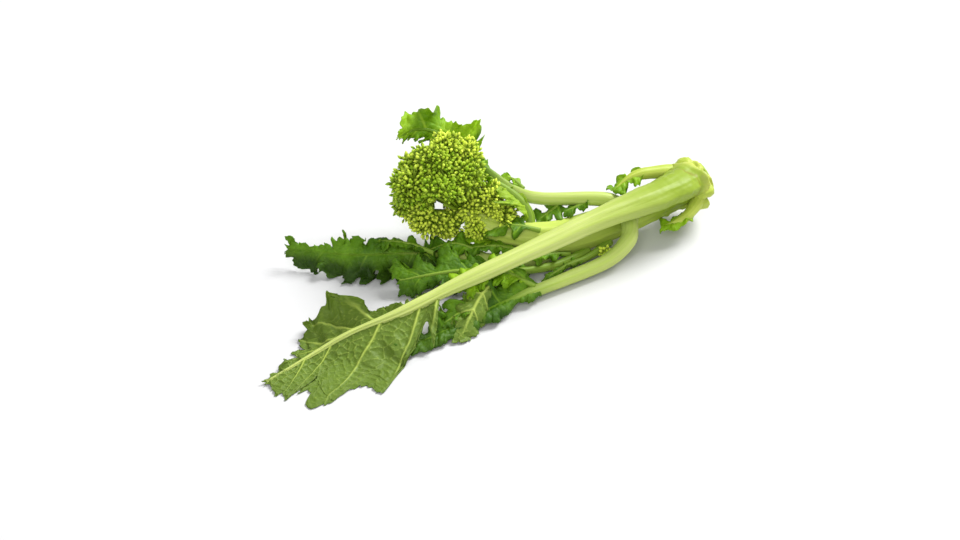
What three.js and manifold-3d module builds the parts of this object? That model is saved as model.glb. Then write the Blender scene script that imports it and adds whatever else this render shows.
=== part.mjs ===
// Broccoli rabe: one cut flowering shoot with its leaves and its head of flower buds, lying on a
// table. Millimetres, +Z up. While it is drawn, the origin is on the table under the middle of the
// cut face, the shoot grows towards -X, and -Y is the side of the two long stalks. The finished
// group is then moved so that its box is centred in X and Y, with its lowest faces at Z = 0.
import Module from 'manifold-3d';
import * as THREE from 'three';
import { mergeVertices } from 'three/addons/utils/BufferGeometryUtils.js';

const wasm = await Module();
wasm.setup();

// ---- Driving dimensions --------------------------------------------------------------------

const CLEARANCE = 0.3;              // gap left wherever two pieces meet
const BLADE_THICKNESS = 1.4;        // leaf blades, puckering included

const STEM_LENGTH = 158;            // cut face to the fork under the head, in plan
const STEM_RADIUS = 13;             // where the stem lies on the table
const STEM_FOOT_RADIUS = 16;        // at the cut face
const STEM_FORK_RADIUS = 8;         // under the head
const STEM_FOOT_LIFT = 7;           // table to the underside of the cut end
const STEM_SWING = 34;              // how far the fork lies to the +Y side of the cut face
const STEM_FLAT = 0.5;              // how deep the stem's resting flat is

const FRONT_LEAF_LENGTH = 330;      // the long leaf that lies on top of the stem
const FRONT_LEAF_HALF_WIDTH = 56;
const FRONT_STALK_RADIUS = 9.5;
const FRONT_STALK_GAP = 2;          // between this stalk and the stem that it lies over

const LOW_LEAF_LENGTH = 205;        // the leaf whose stalk lies on the table
const LOW_LEAF_HALF_WIDTH = 23;
const LOW_STALK_RADIUS = 5.6;
const LOW_STALK_FLAT = 1.2;         // how deep the stalk's resting flat is

const BACK_LEAF_HALF_WIDTH = 27;    // the leaf that stands behind the head
const BACK_STALK_RADIUS = 4.6;

const FAR_LEAF_LENGTH = 170;        // the leaf that lies under the head and reaches far behind
const FAR_LEAF_HALF_WIDTH = 24;
const FAR_STALK_RADIUS = 5;

const INNER_LEAF_LENGTH = 136;      // the dark leaf between the far leaf and the front leaf
const INNER_LEAF_HALF_WIDTH = 14;
const INNER_STALK_RADIUS = 3;

const COLLAR_LEAF_HALF_WIDTH = 17;  // the leaf that cups the head
const COLLAR_STALK_RADIUS = 3.6;

const UNDER_LEAF_LENGTH = 62;       // small leaf between the stem and the low stalk
const BASAL_LEAF_LENGTH = 58;       // small leaf on top of the foot
const STUB_LEAF_LENGTH = 36;        // stub of a leaf beside the foot
const SMALL_STALK_RADIUS = 2.6;

const HEAD_RADIUS = 33;             // the whole head of buds
const BUD_CLUSTER_RADIUS = 14;
const BRANCH_RADIUS = 2.8;
const HEAD_LIFT = 13;               // table to the underside of the head
const SIDE_SHOOT_LENGTH = 24;       // along the stem, from its foot to its buds
const SIDE_SHOOT_RADIUS = 2;
const SIDE_BUDS_RADIUS = 5;

const STALK_SIDES = 8;
const STALK_STEPS = 13;
const CLUSTER_DETAIL = 1;

// ---- Colours -------------------------------------------------------------------------------

const PALE_STALK = 0xb6cc66;
const STEM_GREEN = 0x9db84e;
const LEAF_GREEN = 0x55781f;
const LEAF_UNDERSIDE = 0x7d9a45;
const BUD_GREEN = 0x86a52a;
const ROUGHNESS = 0.5;

function vegetable(color, roughness) {
  return new THREE.MeshStandardMaterial({ color, roughness, metalness: 0 });
}

// ---- Solids --------------------------------------------------------------------------------

const UP = new THREE.Vector3(0, 0, 1);
const v3 = (x, y, z) => new THREE.Vector3(x, y, z);
const { lerp, clamp } = THREE.MathUtils;

function toSolid(geometry) {
  const bare = geometry.clone();
  bare.deleteAttribute('normal');
  bare.deleteAttribute('uv');
  const merged = mergeVertices(bare);
  return new wasm.Manifold(new wasm.Mesh({
    numProp: 3,
    vertProperties: new Float32Array(merged.attributes.position.array),
    triVerts: new Uint32Array(merged.index.array),
  }));
}

function toGeometry(solid) {
  const mesh = solid.getMesh();
  const geometry = new THREE.BufferGeometry();
  geometry.setAttribute('position', new THREE.BufferAttribute(mesh.vertProperties, 3));
  geometry.setIndex(new THREE.BufferAttribute(mesh.triVerts, 1));
  geometry.computeVertexNormals();
  return geometry;
}

// The solid less its neighbours. Where a neighbour cuts a scrap off, the main part is kept.
function trimmed(solid, neighbours) {
  const cut = neighbours.reduce((rest, neighbour) => rest.subtract(neighbour), solid);
  const parts = cut.decompose();
  parts.sort((a, b) => b.volume() - a.volume());
  return parts[0];
}

function joined(solids) {
  return solids.reduce((whole, solid) => whole.add(solid));
}

// Side and normal of a route at t. The side is level, and points to +Y where growth runs to -X,
// unless the route names a sideways direction of its own, as one that climbs steeply does.
function frameAt(route, t) {
  const forward = route.getTangentAt(t);
  const side = v3().crossVectors(forward, UP);
  if (route.sideways) side.copy(route.sideways).addScaledVector(forward, -route.sideways.dot(forward));
  side.normalize();
  const normal = v3().crossVectors(side, forward);
  return { centre: route.getPointAt(t), side, normal };
}

// A round stalk along a route, with radiusAt(t) for t from 0 at its foot to 1 at its tip. One of its
// facets faces down, and what would pass through the table is pressed flat on it.
function stalk(route, radiusAt, { grow = 0, sides = STALK_SIDES, steps = STALK_STEPS } = {}) {
  const geometry = new THREE.CylinderGeometry(1, 1, 1, sides, steps, false, Math.PI / sides);
  const points = geometry.attributes.position;
  for (let i = 0; i < points.count; i += 1) {
    const t = clamp(points.getY(i) + 0.5, 0, 1);
    const { centre, side, normal } = frameAt(route, t);
    const radius = radiusAt(t) + grow;
    centre.addScaledVector(side, points.getX(i) * radius);
    centre.addScaledVector(normal, points.getZ(i) * radius);
    points.setXYZ(i, centre.x, centre.y, Math.max(centre.z, 0));
  }
  return toSolid(geometry);
}

// A lobed leaf blade along a route. leaf.half(u) is its half width, and each side, near (-Y) and
// far (+Y), has a share of that width and a droop angle from level. The blade lies down on the
// table where it would pass through it.
function blade(route, leaf, { grow = 0 } = {}) {
  const { start = 0, lobes = 3, near, far, lift = 0, across = 4, along = 11 } = leaf;
  const geometry = new THREE.BoxGeometry(1, 1, 1, along, across, 1);
  const points = geometry.attributes.position;
  const half = BLADE_THICKNESS / 2 + grow;
  for (let i = 0; i < points.count; i += 1) {
    const u = clamp(points.getX(i) + 0.5, 0, 1);
    const v = -2 * points.getY(i);
    const face = Math.sign(points.getZ(i));
    const { centre, side, normal } = frameAt(route, lerp(start, 1, u));
    const lobe = v < 0 ? near : far;
    const scallop = 1 + 0.16 * Math.cos(2 * Math.PI * lobes * u + lobe.phase);
    const width = leaf.half * lobe.share * outline(u) ** (lobe.narrowing ?? 1) * scallop;
    const reach = Math.abs(v) * (width + grow);
    const droop = lobe.droop * Math.min(1, 2 * Math.abs(v));
    const outward = side.clone().multiplyScalar(Math.sign(v) * Math.cos(droop));
    outward.addScaledVector(normal, -Math.sin(droop));
    const offset = normal.clone().multiplyScalar(Math.cos(droop));
    offset.addScaledVector(side, Math.sign(v) * Math.sin(droop));
    centre.addScaledVector(outward, reach);
    centre.addScaledVector(offset, face * half);
    centre.addScaledVector(normal, lift);
    const floor = face > 0 ? BLADE_THICKNESS : 0;
    points.setXYZ(i, centre.x, centre.y, Math.max(centre.z, floor));
  }
  return toSolid(geometry);
}

// Share of the full half width from the foot of a blade (u = 0) to its tip (u = 1).
function outline(u) {
  return 0.14 + 0.86 * Math.sin(Math.PI * u ** 0.7) ** 0.8;
}

function ball(centre, radius, { grow = 0, detail = CLUSTER_DETAIL } = {}) {
  const geometry = new THREE.IcosahedronGeometry(radius + grow, detail);
  geometry.translate(centre.x, centre.y, centre.z);
  return toSolid(geometry);
}

function smoothRoute(points) {
  return new THREE.CatmullRomCurve3(points, false, 'centripetal');
}

function taper(foot, tip, power = 1) {
  return (t) => lerp(foot, tip, t ** power);
}

// A leaf as one solid: its stalk, which runs on as the midrib, with its blades.
function leafSolid(route, radiusAt, blades, options = {}) {
  return joined([stalk(route, radiusAt, options), ...blades.map((leaf) => blade(route, leaf, options))]);
}

// ---- Main stem -----------------------------------------------------------------------------

const stemRest = STEM_RADIUS - STEM_FLAT;
const stemRoute = smoothRoute([
  v3(0, 0, STEM_FOOT_LIFT + STEM_FOOT_RADIUS),
  v3(-0.27 * STEM_LENGTH, 0, stemRest + 1),
  v3(-0.48 * STEM_LENGTH, 0, stemRest),
  v3(-0.68 * STEM_LENGTH, 0.18 * STEM_SWING, stemRest),
  v3(-0.82 * STEM_LENGTH, 0.42 * STEM_SWING, stemRest + 2),
  v3(-0.93 * STEM_LENGTH, 0.72 * STEM_SWING, stemRest + 7),
  v3(-STEM_LENGTH, STEM_SWING, stemRest + 15),
]);

function stemRadius(t) {
  if (t < 0.25) return lerp(STEM_FOOT_RADIUS, STEM_RADIUS, t / 0.25);
  if (t < 0.6) return STEM_RADIUS;
  return lerp(STEM_RADIUS, STEM_FORK_RADIUS, (t - 0.6) / 0.4);
}

const onStem = (t) => stemRoute.getPointAt(t);

// ---- Head: the fork's branches and the clusters of buds --------------------------------------

const fork = onStem(1);
const headCentre = fork.clone().add(v3(-0.46 * HEAD_RADIUS, 0.66 * HEAD_RADIUS, 0));
headCentre.z = HEAD_LIFT + HEAD_RADIUS;

// Each cluster's direction from the middle of the head: turn about Z, then height above level.
const CLUSTER_DIRECTIONS = [
  ['bud_cluster_crown', 90, 82],
  ['bud_cluster_front', -110, 20],
  ['bud_cluster_right', -38, 24],
  ['bud_cluster_back_right', 34, 20],
  ['bud_cluster_back', 106, 20],
  ['bud_cluster_left', 178, 20],
  ['bud_cluster_low_front', -138, -42],
  ['bud_cluster_low_left', 148, -42],
  ['bud_cluster_low_back', 66, -42],
];

const clusters = CLUSTER_DIRECTIONS.map(([name, turn, height]) => {
  const turnAngle = THREE.MathUtils.degToRad(turn);
  const heightAngle = THREE.MathUtils.degToRad(height);
  const direction = v3(
    Math.cos(turnAngle) * Math.cos(heightAngle),
    Math.sin(turnAngle) * Math.cos(heightAngle),
    Math.sin(heightAngle),
  );
  const centre = headCentre.clone().addScaledVector(direction, HEAD_RADIUS - BUD_CLUSTER_RADIUS);
  return { name, centre, radius: BUD_CLUSTER_RADIUS };
});

// A cluster of its own on the near side of the fork, lower than the rest.
const sideClusterRadius = 0.95 * BUD_CLUSTER_RADIUS;
clusters.push({
  name: 'bud_cluster_side',
  centre: fork.clone().add(v3(sideClusterRadius, 0.15 * sideClusterRadius, 0.75 * sideClusterRadius)),
  radius: sideClusterRadius,
});

function branchTo(cluster, grow = 0) {
  const root = onStem(0.94);
  const end = cluster.centre.clone();
  const middle = root.clone().lerp(end, 0.5);
  middle.addScaledVector(fork.clone().sub(root), 0.4);
  return stalk(smoothRoute([root, middle, end]), () => BRANCH_RADIUS, { grow, sides: 6, steps: 4 });
}

function stemSolid(grow = 0) {
  const trunk = stalk(stemRoute, stemRadius, { grow, sides: 16, steps: 18 });
  return joined([trunk, ...clusters.map((cluster) => branchTo(cluster, grow))]);
}

// ---- Front leaf: its stalk lies over the stem, and its blade drapes on the table -------------

const overStem = 2 * STEM_RADIUS + FRONT_STALK_GAP + FRONT_STALK_RADIUS;
const frontRoute = smoothRoute([
  v3(-12, -3, STEM_FOOT_LIFT + STEM_FOOT_RADIUS + 10),
  v3(-0.12 * FRONT_LEAF_LENGTH, -12, overStem - 1),
  v3(-0.28 * FRONT_LEAF_LENGTH, -16, overStem - 0.5),
  v3(-0.4 * FRONT_LEAF_LENGTH, -18, overStem - 4),
  v3(-0.52 * FRONT_LEAF_LENGTH, -20, 30),
  v3(-0.63 * FRONT_LEAF_LENGTH, -20, 25),
  v3(-0.74 * FRONT_LEAF_LENGTH, -20, 19),
  v3(-0.84 * FRONT_LEAF_LENGTH, -15, 12),
  v3(-0.92 * FRONT_LEAF_LENGTH, -15, 5),
  v3(-1.03 * FRONT_LEAF_LENGTH, -22, 1.6),
]);
const frontBlade = {
  start: 0.68,
  half: FRONT_LEAF_HALF_WIDTH,
  lobes: 2.5,
  lift: -0.6,
  near: { share: 1, droop: 0.55, phase: 4.2, narrowing: 1.3 },
  far: { share: 0.7, droop: 0.02, phase: 0.6, narrowing: 2 },
  along: 14,
  across: 6,
};
const frontRadius = taper(FRONT_STALK_RADIUS, 1.1);
const frontLeaf = (grow = 0) => leafSolid(frontRoute, frontRadius, [frontBlade], { grow });

// ---- Low leaf: its stalk leaves the stem under the front stalk and lies on the table ----------

const lowRest = LOW_STALK_RADIUS - LOW_STALK_FLAT;
const lowFoot = onStem(0.38);
const lowOffset = STEM_RADIUS + LOW_STALK_RADIUS + 9;
const lowRoute = smoothRoute([
  lowFoot.clone().add(v3(0, -0.3 * STEM_RADIUS, 0.4 * STEM_RADIUS)),
  lowFoot.clone().add(v3(-6, -STEM_RADIUS, 0.55 * STEM_RADIUS)),
  lowFoot.clone().add(v3(-14, -lowOffset, 0)),
  v3(lowFoot.x - 0.16 * LOW_LEAF_LENGTH, -lowOffset - 1, lowRest + 0.2),
  v3(lowFoot.x - 0.32 * LOW_LEAF_LENGTH, -lowOffset - 2, lowRest),
  v3(lowFoot.x - 0.5 * LOW_LEAF_LENGTH, -lowOffset - 4, 0.85 * lowRest),
  v3(lowFoot.x - 0.7 * LOW_LEAF_LENGTH, -lowOffset - 8, 0.65 * lowRest),
  v3(lowFoot.x - LOW_LEAF_LENGTH, -lowOffset - 12, 2),
]);
const lowBlade = {
  start: 0.5,
  half: LOW_LEAF_HALF_WIDTH,
  lobes: 3,
  lift: 0.8,
  near: { share: 0.42, droop: 0.5, phase: 0.4 },
  far: { share: 1, droop: -0.45, phase: 2.2 },
  along: 12,
};
const lowRadius = taper(LOW_STALK_RADIUS, 1.4, 2.2);
const lowLeaf = (grow = 0) => leafSolid(lowRoute, lowRadius, [lowBlade], { grow });

// ---- Back leaf: its stalk arches behind the front stalk, and its blade stands over the head ---

const backFoot = onStem(0.36);
const headBack = (side, height) => headCentre.clone().add(
  v3(side * HEAD_RADIUS, (1 + 0.12) * HEAD_RADIUS, height * HEAD_RADIUS),
);
const headRight = headCentre.clone().add(v3(HEAD_RADIUS + BACK_STALK_RADIUS + 5, 0, 0));
const backRoute = smoothRoute([
  backFoot.clone().add(v3(0, 0.2 * STEM_RADIUS, 0.3 * STEM_RADIUS)),
  backFoot.clone().add(v3(-14, 0.9 * STEM_RADIUS, STEM_RADIUS + 5)),
  v3(lerp(backFoot.x, headRight.x, 0.75), 0.45 * headRight.y, STEM_RADIUS + 25),
  headRight.clone().add(v3(2, -0.3 * HEAD_RADIUS, -5)),
  headRight.clone().add(v3(-4, 0.25 * HEAD_RADIUS, 6)),
  headBack(0.66, 0.62),
  headBack(0.2, 1.0),
  headBack(-0.35, 1.16),
]);
const backBlade = {
  start: 0.62,
  half: BACK_LEAF_HALF_WIDTH,
  lobes: 2.5,
  near: { share: 0.45, droop: 0.2, phase: 0.5 },
  far: { share: 0.75, droop: -0.3, phase: 1.5 },
};
const backRadius = taper(BACK_STALK_RADIUS, 1.2, 1.4);
const backLeaf = (grow = 0) => leafSolid(backRoute, backRadius, [backBlade], { grow });

// ---- Far leaf: it runs under the head and out behind it ---------------------------------------

const farFoot = onStem(0.7);
const farReach = (share, side, height) => v3(
  farFoot.x - share * FAR_LEAF_LENGTH,
  side * FAR_LEAF_LENGTH,
  height,
);
const farRoute = smoothRoute([
  farFoot.clone().add(v3(0, -0.2 * STEM_RADIUS, -0.2 * STEM_RADIUS)),
  farReach(0.14, 0.01, FAR_STALK_RADIUS + 4),
  farReach(0.28, 0.06, FAR_STALK_RADIUS + 3),
  farReach(0.44, 0.19, FAR_STALK_RADIUS + 8),
  farReach(0.6, 0.29, 20),
  farReach(0.74, 0.37, 20),
  farReach(0.9, 0.58, 3),
]);
const farBlade = {
  start: 0.34,
  half: FAR_LEAF_HALF_WIDTH,
  lobes: 3,
  lift: 0.8,
  near: { share: 1, droop: 0.95, phase: 0.2 },
  far: { share: 0.65, droop: 0.3, phase: 1.1 },
};
const farRadius = taper(FAR_STALK_RADIUS, 1.2, 1.3);
const farLeaf = (grow = 0) => leafSolid(farRoute, farRadius, [farBlade], { grow });

// ---- Inner leaf: short and dark, along the back of the front stalk ---------------------------

const innerFoot = onStem(0.6);
const innerReach = (share, side, height) => v3(
  innerFoot.x - share * INNER_LEAF_LENGTH,
  side,
  height,
);
const innerRoute = smoothRoute([
  innerFoot.clone().add(v3(0, -0.55 * STEM_RADIUS, -0.5 * STEM_RADIUS)),
  innerReach(0.2, -9, 6),
  innerReach(0.45, -5, 9),
  innerReach(0.7, 7, 14),
  innerReach(0.95, 17, 13),
]);
const innerBlade = {
  start: 0.42,
  half: INNER_LEAF_HALF_WIDTH,
  lobes: 3,
  lift: 0.6,
  near: { share: 1, droop: 0.8, phase: 0.9 },
  far: { share: 1, droop: 0.35, phase: 2.4 },
  along: 12,
};
const innerRadius = taper(INNER_STALK_RADIUS, 1);
const innerLeaf = (grow = 0) => leafSolid(innerRoute, innerRadius, [innerBlade], { grow });

// ---- Collar leaf: it stands up from the fork and cups the head's right side -------------------

const collarFoot = onStem(0.83);
const collarRoute = smoothRoute([
  collarFoot.clone().add(v3(2, 0, 0.4 * STEM_RADIUS)),
  collarFoot.clone().add(v3(4, 0.1 * STEM_RADIUS, 1.5 * STEM_RADIUS)),
  collarFoot.clone().add(v3(1, 0.4 * STEM_RADIUS, 2.5 * STEM_RADIUS)),
  collarFoot.clone().add(v3(-9, 0.7 * STEM_RADIUS, 3.3 * STEM_RADIUS)),
]);
collarRoute.sideways = v3(0, 1, 0);
const collarBlade = {
  start: 0.25,
  half: COLLAR_LEAF_HALF_WIDTH,
  lobes: 2,
  near: { share: 0.25, droop: 0.6, phase: 0.4 },
  far: { share: 1, droop: 0.12, phase: 1.8 },
  along: 10,
};
const collarRadius = taper(COLLAR_STALK_RADIUS, 1);
const collarLeaf = (grow = 0) => leafSolid(collarRoute, collarRadius, [collarBlade], { grow });

// ---- Small leaves ----------------------------------------------------------------------------

function smallLeaf(foot, length, offsets, half, grow) {
  const route = smoothRoute(offsets.map((offset) => v3(...offset).multiplyScalar(length).add(foot)));
  const small = {
    start: 0.45,
    half,
    lobes: 2,
    near: { share: 1, droop: 0.5, phase: 0.4 },
    far: { share: 1, droop: 0.3, phase: 1.8 },
    along: 8,
    across: 4,
  };
  const radiusAt = taper(SMALL_STALK_RADIUS, 0.9);
  return leafSolid(route, radiusAt, [small], { grow, sides: 8, steps: 8 });
}

const basalLeaf = (grow = 0) => smallLeaf(
  onStem(0.1).add(v3(0, 0.5 * STEM_FOOT_RADIUS, 0.55 * STEM_FOOT_RADIUS)),
  BASAL_LEAF_LENGTH,
  [[0.1, -0.05, -0.1], [-0.25, 0.06, 0.16], [-0.6, 0.1, 0.24], [-0.9, 0.06, 0.16]],
  9,
  grow,
);

const stubLeaf = (grow = 0) => smallLeaf(
  onStem(0.03).add(v3(0, -0.7 * STEM_FOOT_RADIUS, -0.35 * STEM_FOOT_RADIUS)),
  STUB_LEAF_LENGTH,
  [[0, 0.15, 0.05], [-0.25, -0.1, -0.03], [-0.6, -0.16, -0.06], [-0.95, -0.1, -0.08]],
  7,
  grow,
);

const underLeaf = (grow = 0) => smallLeaf(
  onStem(0.52).add(v3(0, -0.7 * STEM_RADIUS, -0.4 * STEM_RADIUS)),
  UNDER_LEAF_LENGTH,
  [[0.05, 0.04, 0.02], [-0.3, -0.06, 0], [-0.6, -0.12, 0.02], [-0.95, -0.2, -0.02]],
  8,
  grow,
);

// ---- Side shoot: a bud cluster on a short branch beside the low leaf's foot -------------------

const shootFoot = onStem(0.4).add(v3(0, 0, -0.35 * STEM_RADIUS));
const shootBend = shootFoot.clone().add(v3(-0.35 * SIDE_SHOOT_LENGTH, -0.95 * STEM_RADIUS, 0));
const shootTip = shootFoot.clone().add(v3(-SIDE_SHOOT_LENGTH, -STEM_RADIUS - SIDE_BUDS_RADIUS - 1.5, 0));
const sideBuds = (grow = 0) => ball(shootTip, SIDE_BUDS_RADIUS, { grow, detail: 1 });

function sideShoot(grow = 0) {
  const route = smoothRoute([shootFoot, shootBend, shootTip]);
  return stalk(route, () => SIDE_SHOOT_RADIUS, { grow, sides: 6, steps: 6 });
}

// ---- Assembly: each piece keeps clear of the pieces before it that it meets -------------------

const CLUSTER_NAMES = clusters.map((cluster) => cluster.name);
const HEAD = ['main_stem', ...CLUSTER_NAMES];

const PIECES = [
  ['main_stem', stemSolid, STEM_GREEN, []],
  ['front_leaf', frontLeaf, LEAF_UNDERSIDE, ['main_stem']],
  ['low_leaf', lowLeaf, PALE_STALK, ['main_stem', 'front_leaf']],
  ...clusters.map(({ name, centre, radius }, index) => [
    name,
    (grow = 0) => ball(centre, radius, { grow }),
    BUD_GREEN,
    ['main_stem', ...CLUSTER_NAMES.slice(0, index)],
  ]),
  ['back_leaf', backLeaf, LEAF_GREEN, [...HEAD, 'front_leaf']],
  ['collar_leaf', collarLeaf, LEAF_GREEN, [...HEAD, 'front_leaf', 'back_leaf']],
  ['far_leaf', farLeaf, LEAF_GREEN, [...HEAD, 'front_leaf', 'low_leaf']],
  ['inner_leaf', innerLeaf, LEAF_GREEN, [...HEAD, 'front_leaf', 'low_leaf', 'far_leaf']],
  ['under_leaf', underLeaf, LEAF_GREEN, ['main_stem', 'front_leaf', 'low_leaf', 'far_leaf', 'inner_leaf']],
  ['basal_leaf', basalLeaf, LEAF_GREEN, ['main_stem', 'front_leaf', 'back_leaf']],
  ['stub_leaf', stubLeaf, PALE_STALK, ['main_stem', 'front_leaf', 'low_leaf']],
  ['side_shoot', sideShoot, STEM_GREEN, ['main_stem', 'low_leaf', 'under_leaf', 'side_shoot_buds']],
  ['side_shoot_buds', sideBuds, BUD_GREEN, ['main_stem', 'low_leaf', 'under_leaf']],
];

const shapeOf = new Map(PIECES.map(([name, shape]) => [name, shape]));
const plant = new THREE.Group();
for (const [name, shape, color, neighbours] of PIECES) {
  const solid = trimmed(shape(), neighbours.map((neighbour) => shapeOf.get(neighbour)(CLEARANCE)));
  const mesh = new THREE.Mesh(toGeometry(solid), vegetable(color, ROUGHNESS));
  mesh.name = name;
  plant.add(mesh);
}

const box = new THREE.Box3().setFromObject(plant);
plant.position.set(-(box.min.x + box.max.x) / 2, -(box.min.y + box.max.y) / 2, -box.min.z);

export default plant;
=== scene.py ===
"""Broccoli rabe: one cut shoot on a pale table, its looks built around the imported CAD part.

Shapes are worked out in millimetres in the shoot's own frame: the origin is on the table under the
middle of the cut face, the shoot grows towards -X, and -Y is the side of the two long stalks.
to_row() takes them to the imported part's frame, in metres.
"""

import math

import bpy
import numpy as np
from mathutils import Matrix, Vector

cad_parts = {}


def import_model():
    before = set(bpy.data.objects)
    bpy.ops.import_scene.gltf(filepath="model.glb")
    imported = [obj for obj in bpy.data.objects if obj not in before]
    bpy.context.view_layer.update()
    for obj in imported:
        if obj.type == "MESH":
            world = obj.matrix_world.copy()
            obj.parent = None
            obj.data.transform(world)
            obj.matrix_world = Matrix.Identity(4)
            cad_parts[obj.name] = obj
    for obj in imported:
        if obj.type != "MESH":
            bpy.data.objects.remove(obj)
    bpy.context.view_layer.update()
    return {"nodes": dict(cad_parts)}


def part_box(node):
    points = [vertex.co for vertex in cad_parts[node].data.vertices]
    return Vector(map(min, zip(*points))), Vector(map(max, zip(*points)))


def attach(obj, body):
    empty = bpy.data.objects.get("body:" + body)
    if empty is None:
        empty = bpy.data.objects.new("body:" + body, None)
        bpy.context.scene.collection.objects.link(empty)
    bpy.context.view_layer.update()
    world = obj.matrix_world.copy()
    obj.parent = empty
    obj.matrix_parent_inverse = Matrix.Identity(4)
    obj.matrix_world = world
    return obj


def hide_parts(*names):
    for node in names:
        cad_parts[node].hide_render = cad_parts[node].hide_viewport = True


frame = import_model()

MM = 0.001
CUT_RIM_REACH = 3.3  # the cut face leans, so its rim reaches this far past its middle
TABLE_GAP = 0.25  # what lies on the table stays this far above it
UP = np.array([0.0, 0.0, 1.0])


# ---- Places ----

def cut_face_origin():
    """The shoot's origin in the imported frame, in millimetres, from the stem's end ring."""
    stem = frame["nodes"]["main_stem"]
    points = np.array([vertex.co for vertex in stem.data.vertices]) / MM
    ring = points[points[:, 0] > points[:, 0].max() - 0.01]
    middle_y = (ring[:, 1].min() + ring[:, 1].max()) / 2
    return np.array([points[:, 0].max() - CUT_RIM_REACH, middle_y, 0.0])


ORIGIN = cut_face_origin()


def to_row(points):
    return (np.asarray(points, dtype=float) + ORIGIN) * MM


def node_ball(node):
    """Middle and radius of a packed bud cluster, in the shoot's frame."""
    low, high = (np.array(corner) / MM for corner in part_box(node))
    return (low + high) / 2 - ORIGIN, float(np.max(high - low)) / 2


# ---- Number helpers ----

def unit(vectors):
    return vectors / np.maximum(np.linalg.norm(vectors, axis=-1, keepdims=True), 1e-9)


def smoothstep(x):
    x = np.clip(x, 0.0, 1.0)
    return x * x * (3 - 2 * x)


def eased(x, knots):
    """Smooth steps through (position, value) knots."""
    at, values = (np.array(column, dtype=float) for column in zip(*knots))
    x = np.clip(x, at[0], at[-1])
    i = np.clip(np.searchsorted(at, x, side="right") - 1, 0, len(at) - 2)
    share = smoothstep((x - at[i]) / (at[i + 1] - at[i]))
    return values[i] + (values[i + 1] - values[i]) * share


def taper(*knots):
    """A radius or a width along a stalk, as smooth steps through (t, value) knots."""
    return lambda t: eased(t, knots)


def waves(points, length, seed, octaves=3):
    """Smooth noise, mostly from -1 to 1, as a sum of sine waves in random directions."""
    rng = np.random.default_rng(seed)
    points = np.asarray(points, dtype=float)
    total = np.zeros(points.shape[:-1])
    power = 0.0
    for octave in range(octaves):
        gain = 0.55 ** octave
        for _ in range(3):
            power += gain ** 2
            direction = unit(rng.normal(size=points.shape[-1]))
            phase = rng.uniform(0, 2 * math.pi)
            stretch = rng.uniform(0.75, 1.35) * length * 0.5 ** octave
            total += gain * np.sin(points @ direction * 2 * math.pi / stretch + phase)
    return total / math.sqrt(2 * power)


def cell_edges(x, y, size, seed):
    """0 on the walls of a random cell pattern and rising to 1 inside the cells."""
    rng = np.random.default_rng(seed)
    jitter = rng.uniform(0.1, 0.9, size=(64, 64, 2))
    cx, cy = x / size, y / size
    ix, iy = np.floor(cx).astype(int), np.floor(cy).astype(int)
    first = np.full(x.shape, 9.0)
    second = np.full(x.shape, 9.0)
    for dx in (-1, 0, 1):
        for dy in (-1, 0, 1):
            spot = jitter[(ix + dx) % 64, (iy + dy) % 64]
            gap = np.hypot(ix + dx + spot[..., 0] - cx, iy + dy + spot[..., 1] - cy)
            second = np.minimum(second, np.maximum(first, gap))
            first = np.minimum(first, gap)
    return np.clip((second - first) / 0.5, 0.0, 1.0)


# ---- Routes ----

class Route:
    """A smooth line through points, with a frame at each of its equal steps."""

    def __init__(self, points, sideways=None, samples=400):
        points = np.array(points, dtype=float)
        ends = np.vstack([2 * points[0] - points[1], points, 2 * points[-1] - points[-2]])
        share = np.linspace(0, 1, 24, endpoint=False)[:, None]
        parts = []
        for a, b, c, d in zip(ends, ends[1:], ends[2:], ends[3:]):
            curve = (2 * b + (c - a) * share + (2 * a - 5 * b + 4 * c - d) * share ** 2
                     + (3 * b - a - 3 * c + d) * share ** 3) / 2
            parts.append(curve)
        line = np.vstack(parts + [points[-1:]])
        run = np.concatenate([[0], np.cumsum(np.linalg.norm(np.diff(line, axis=0), axis=1))])
        self.length = run[-1]
        at = np.linspace(0, self.length, samples)
        self.at = at / self.length
        self.line = np.stack([np.interp(at, run, line[:, k]) for k in range(3)], axis=1)
        forward = unit(np.gradient(self.line, axis=0))
        if sideways is None:
            side = np.cross(forward, UP)
        else:
            side = np.array(sideways, dtype=float)
            side = side - forward * (forward @ side)[:, None]
        self.forward = forward
        self.side = unit(side)

    def sample(self, t):
        """Centre, forward, side and normal at each t from 0 to 1."""
        take = lambda rows: np.stack([np.interp(t, self.at, rows[:, k]) for k in range(3)], axis=-1)
        forward = unit(take(self.forward))
        side = take(self.side)
        side = unit(side - forward * np.sum(side * forward, axis=-1, keepdims=True))
        return take(self.line), forward, side, np.cross(side, forward)


# ---- Meshes ----

def grid_quads(rows, columns, wrap=False, offset=0):
    """Quads of a grid of points stored row by row, wrapped round each row if asked."""
    i, j = np.meshgrid(np.arange(rows - 1), np.arange(columns if wrap else columns - 1), indexing="ij")
    k = (j + 1) % columns
    quads = np.stack([i * columns + j, i * columns + k, (i + 1) * columns + k, (i + 1) * columns + j], -1)
    return quads.reshape(-1, 4) + offset


def lay_on_table(points, height=TABLE_GAP):
    points[..., 2] = np.maximum(points[..., 2], height)
    return points


def settle(points, height, softness):
    """Bends a sheet gently towards level where it comes down to a height above the table."""
    points[..., 2] = height + softness * np.logaddexp(0, (points[..., 2] - height) / softness)
    return points


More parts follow.
